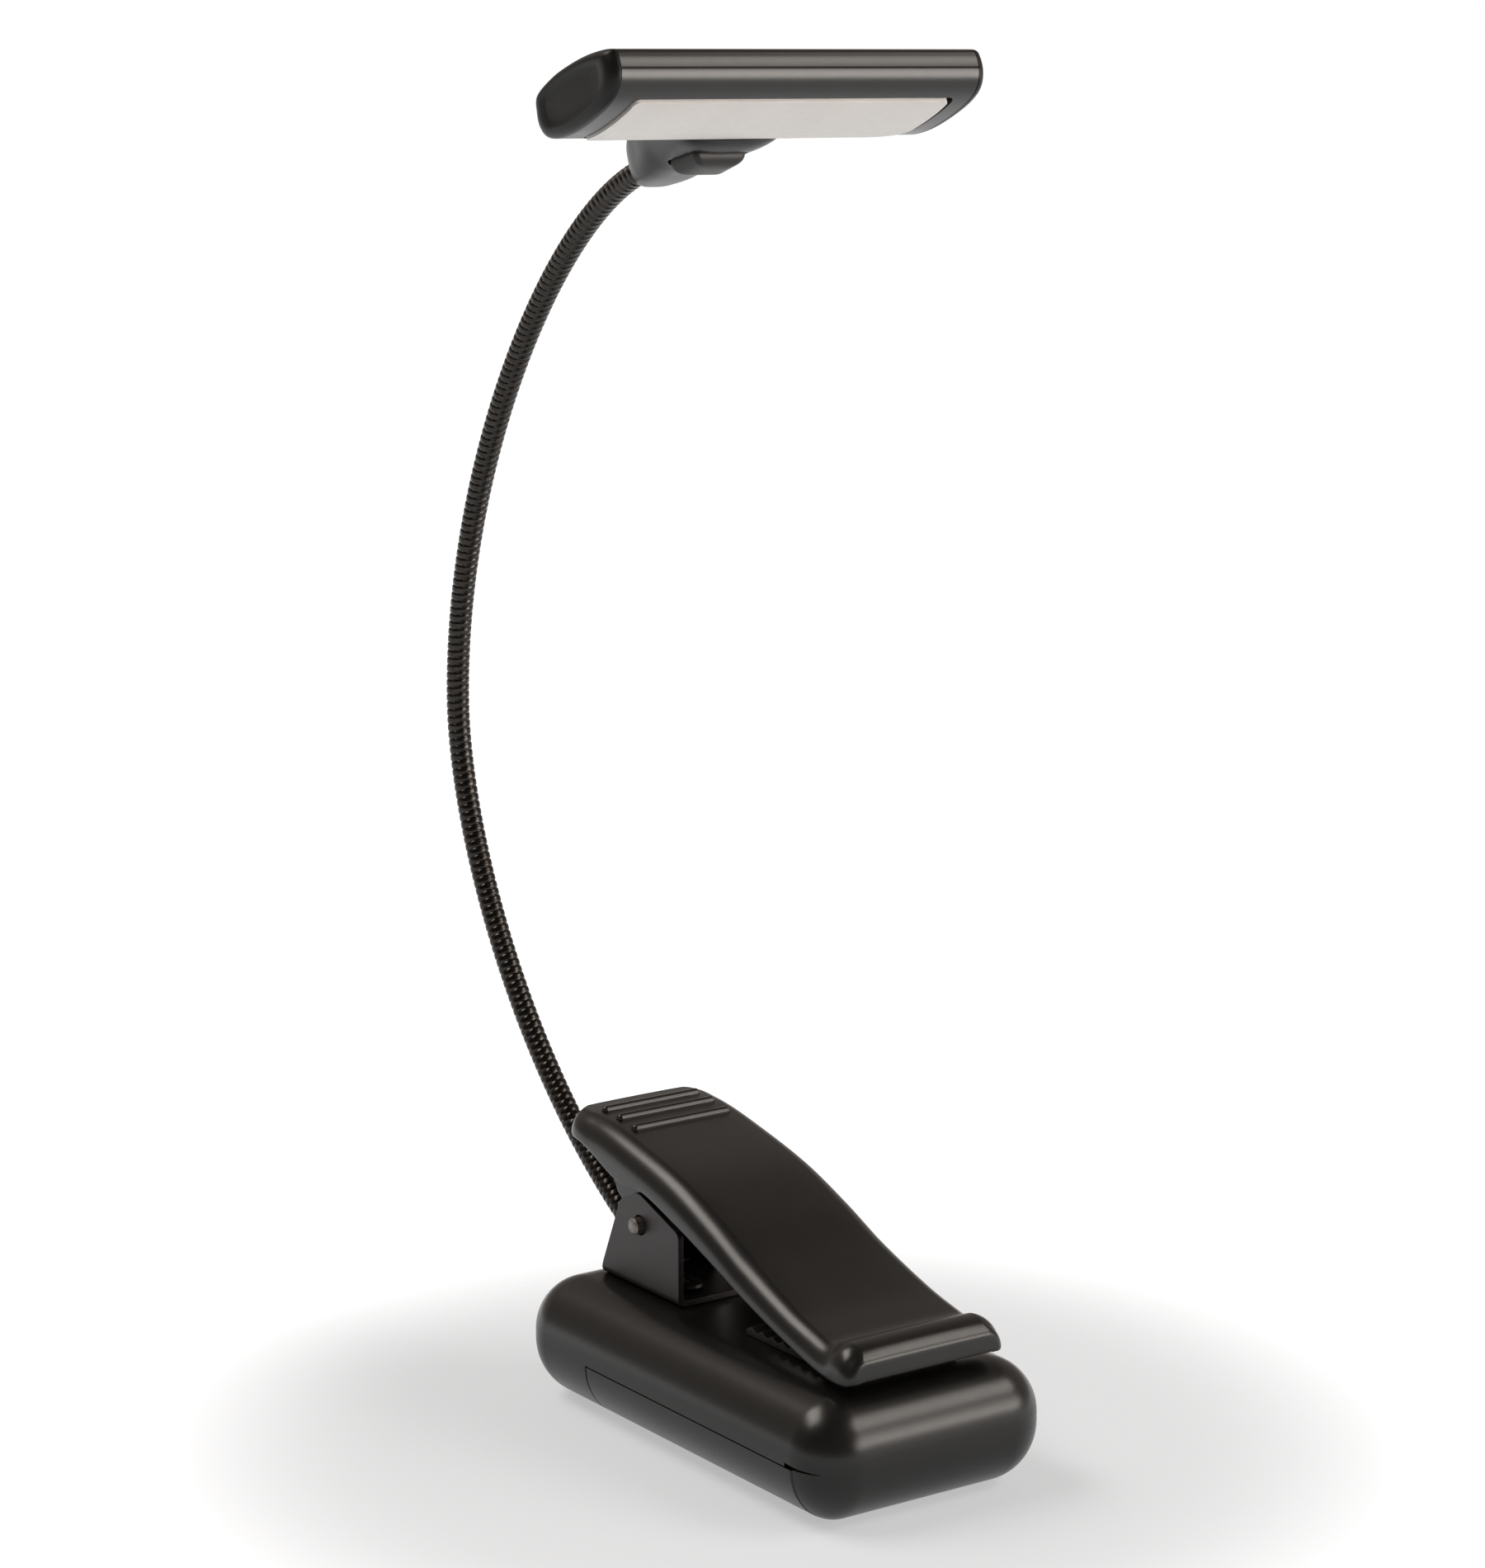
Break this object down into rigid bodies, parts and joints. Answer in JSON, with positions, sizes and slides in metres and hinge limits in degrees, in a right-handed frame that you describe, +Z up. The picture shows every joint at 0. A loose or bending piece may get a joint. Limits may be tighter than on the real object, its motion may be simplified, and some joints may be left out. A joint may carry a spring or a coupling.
{
  "type": "clip-on reading lamp",
  "caption": "Battery reading lamp with a spring clip base, a flexible gooseneck and a slim bar head that shines downwards.",
  "frame": {"origin": "centre of the base's flat underside", "axes": "+X along the base towards the open end of the clip, +Y across its width, +Z up"},
  "size_m": [0.1315, 0.0658, 0.2083],
  "materials": {
    "black_plastic": "satin black with a soft sheen",
    "button_plastic": "matte black",
    "black_steel": "satin black paint",
    "pin_steel": "dull steel",
    "neck_steel": "black chrome coil",
    "bright_steel": "nickel plated",
    "rubber": "matte",
    "diffuser": "milky satin",
    "white_plastic": "matte",
    "circuit_board": "green lacquer",
    "cell_wrap": "plain printed sleeve without any text",
    "wire": "smooth insulation"
  },
  "bodies": {
    "base": {"base_upper_shell": "black_plastic", "base_lower_shell": "black_plastic", "battery_1": "cell_wrap", "battery_2": "cell_wrap", "battery_3": "cell_wrap", "battery_spring_1": "bright_steel", "battery_spring_2": "bright_steel", "battery_spring_3": "bright_steel", "contact_rear_pair": "bright_steel", "contact_rear_single": "bright_steel", "contact_front_single": "bright_steel", "contact_front_pair": "bright_steel", "pivot_bracket": "black_steel", "bracket_screw_1": "bright_steel", "bracket_screw_2": "bright_steel", "pivot_pin": "pin_steel", "clip_spring": "bright_steel", "lower_jaw_pad": "rubber", "neck_ferrule_base": "rubber", "neck_link_1": "neck_steel"},
    "door": {"battery_door": "black_plastic"},
    "lever": {"clip_lever": "black_plastic", "upper_jaw_pad": "rubber"},
    "neck_2": {"neck_link_2": "neck_steel"},
    "neck_3": {"neck_link_3": "neck_steel"},
    "neck_4": {"neck_link_4": "neck_steel"},
    "neck_5": {"neck_link_5": "neck_steel"},
    "neck_6": {"neck_link_6": "neck_steel"},
    "neck_7": {"neck_link_7": "neck_steel"},
    "neck_8": {"neck_link_8": "neck_steel"},
    "head": {"neck_link_9": "neck_steel", "neck_ferrule_head": "bright_steel", "neck_housing_top": "black_plastic", "neck_housing_bottom": "black_plastic", "switch_body": "white_plastic", "switch_lead": "wire", "head_top_shell": "black_plastic", "head_bezel": "black_plastic", "end_cap_left": "black_plastic", "end_cap_right": "black_plastic", "diffuser": "diffuser", "reflector": "white_plastic", "led_board": "circuit_board"},
    "button": {"switch_button": "button_plastic"}
  },
  "joints": [
    {"name": "lever_open", "type": "hinge", "parent": "base", "child": "lever", "pos_m": [-0.021, 0, 0.0297], "axis": [0, -1, 0], "range_deg": [0, 26], "stiffness_Nm_per_rad": 0.5, "springref_deg": -40.11, "deforming": ["clip_spring"]},
    {"name": "door_slide", "type": "slide", "parent": "base", "child": "door", "axis": [0, -1, 0], "range_m": [0, 0.045]},
    {"name": "neck_bend_1", "type": "hinge", "parent": "base", "child": "neck_2", "pos_m": [-0.05659, 0, 0.03549], "axis": [0, 1, 0], "range_deg": [-14, 14]},
    {"name": "neck_sway_2", "type": "hinge", "parent": "neck_2", "child": "neck_3", "pos_m": [-0.0716, 0, 0.05203], "axis": [0.8059, 0, 0.5921], "range_deg": [-14, 14]},
    {"name": "neck_bend_3", "type": "hinge", "parent": "neck_3", "child": "neck_4", "pos_m": [-0.08293, 0, 0.07127], "axis": [0, 1, 0], "range_deg": [-14, 14]},
    {"name": "neck_sway_4", "type": "hinge", "parent": "neck_4", "child": "neck_5", "pos_m": [-0.08931, 0, 0.09263], "axis": [0.9923, 0, 0.1236], "range_deg": [-14, 14]},
    {"name": "neck_bend_5", "type": "hinge", "parent": "neck_5", "child": "neck_6", "pos_m": [-0.08797, 0, 0.11487], "axis": [0, 1, 0], "range_deg": [-14, 14]},
    {"name": "neck_sway_6", "type": "hinge", "parent": "neck_6", "child": "neck_7", "pos_m": [-0.0812, 0, 0.13615], "axis": [0.9183, 0, -0.3958], "range_deg": [-14, 14]},
    {"name": "neck_bend_7", "type": "hinge", "parent": "neck_7", "child": "neck_8", "pos_m": [-0.07054, 0, 0.15578], "axis": [0, 1, 0], "range_deg": [-14, 14]},
    {"name": "neck_sway_8", "type": "hinge", "parent": "neck_8", "child": "head", "pos_m": [-0.05643, 0, 0.1731], "axis": [0.701, 0, -0.7132], "range_deg": [-14, 14]},
    {"name": "switch_press", "type": "slide", "parent": "head", "child": "button", "axis": [-0.3584, 0.035, 0.9329], "range_m": [0, 0.0008], "stiffness_N_per_m": 300, "springref_m": -0.002}
  ],
  "couplings": [
    {"joint": "neck_bend_3", "follows": "neck_bend_1", "ratio": 1},
    {"joint": "neck_sway_4", "follows": "neck_sway_2", "ratio": 1},
    {"joint": "neck_bend_5", "follows": "neck_bend_1", "ratio": 1},
    {"joint": "neck_sway_6", "follows": "neck_sway_2", "ratio": 1},
    {"joint": "neck_bend_7", "follows": "neck_bend_1", "ratio": 1},
    {"joint": "neck_sway_8", "follows": "neck_sway_2", "ratio": 1}
  ]
}
